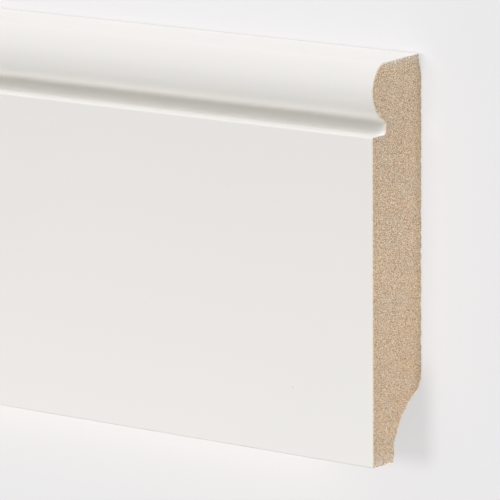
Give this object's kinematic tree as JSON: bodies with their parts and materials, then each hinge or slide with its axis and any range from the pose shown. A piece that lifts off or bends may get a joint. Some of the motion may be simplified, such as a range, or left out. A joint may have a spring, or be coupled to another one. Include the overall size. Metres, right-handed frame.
{
  "type": "skirting board length",
  "caption": "Straight length of white skirting board with a rounded nose over a quirk groove, a plain face and a cove cut out of its lower back.",
  "frame": {"origin": "on the plane of the back, halfway along the length and halfway between foot and top; the board lies on its back with the moulded face up", "axes": "+X along the length, +Y from the foot towards the moulded top, +Z out of the back towards the face"},
  "size_m": [2.4, 0.08, 0.016],
  "materials": {
    "white_faced_fibreboard": "smooth satin white on the top, nose, quirk groove and face; bare light brown fibreboard on the sawn ends, the back, the cove and the foot"
  },
  "bodies": {
    "root": {"skirting_board": "white_faced_fibreboard"}
  },
  "joints": []
}
